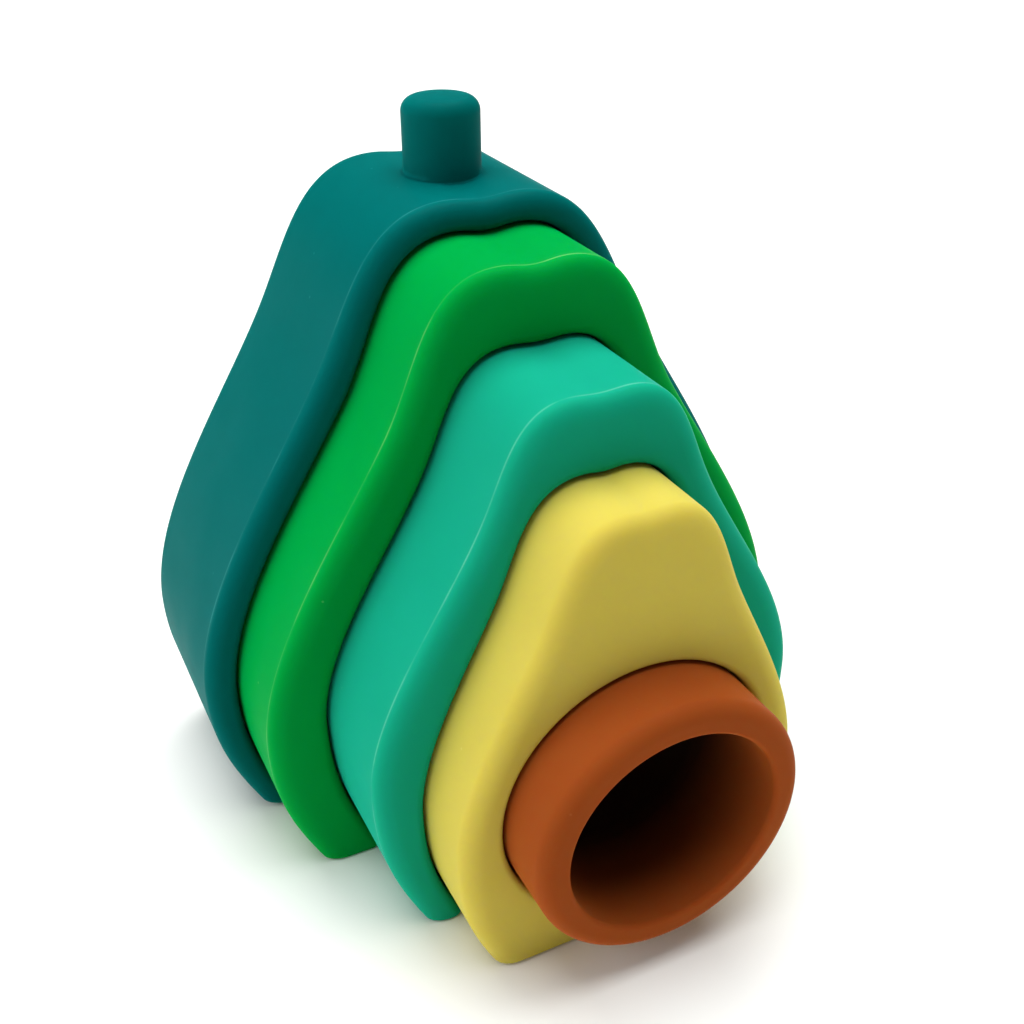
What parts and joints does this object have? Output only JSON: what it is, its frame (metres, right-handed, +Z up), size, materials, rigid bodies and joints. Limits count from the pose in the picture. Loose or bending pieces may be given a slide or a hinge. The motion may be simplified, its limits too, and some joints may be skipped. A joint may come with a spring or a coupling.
{
  "type": "stacking ring toy",
  "caption": "Avocado-shaped nesting stacker of soft moulded arches, a ring with a round hole and a round pit ring that slide out of each other.",
  "frame": {"origin": "on the surface that the toy stands on, below the middle of the row of pieces at rest", "axes": "+Z up, the front faces -Y, +X to the right as seen from the front"},
  "size_m": [0.1148, 0.104, 0.1274],
  "materials": {
    "teal_silicone": "matte moulded silicone",
    "green_silicone": "matte moulded silicone",
    "mint_silicone": "matte moulded silicone",
    "yellow_silicone": "matte moulded silicone",
    "brown_silicone": "matte moulded silicone"
  },
  "bodies": {
    "outer": {"outer_arch": "teal_silicone"},
    "green": {"green_arch": "green_silicone"},
    "mint": {"mint_arch": "mint_silicone"},
    "yellow": {"yellow_ring": "yellow_silicone"},
    "pit": {"pit_ring": "brown_silicone"}
  },
  "joints": [
    {"name": "green_slide", "type": "slide", "parent": "outer", "child": "green", "axis": [0, -1, 0], "range_m": [-0.0187, 0.022]},
    {"name": "mint_slide", "type": "slide", "parent": "green", "child": "mint", "axis": [0, -1, 0], "range_m": [-0.022, 0.019]},
    {"name": "yellow_slide", "type": "slide", "parent": "mint", "child": "yellow", "axis": [0, -1, 0], "range_m": [-0.0139, 0.027]},
    {"name": "pit_slide", "type": "slide", "parent": "yellow", "child": "pit", "axis": [0, -1, 0], "range_m": [-0.0115, 0.0295]}
  ]
}
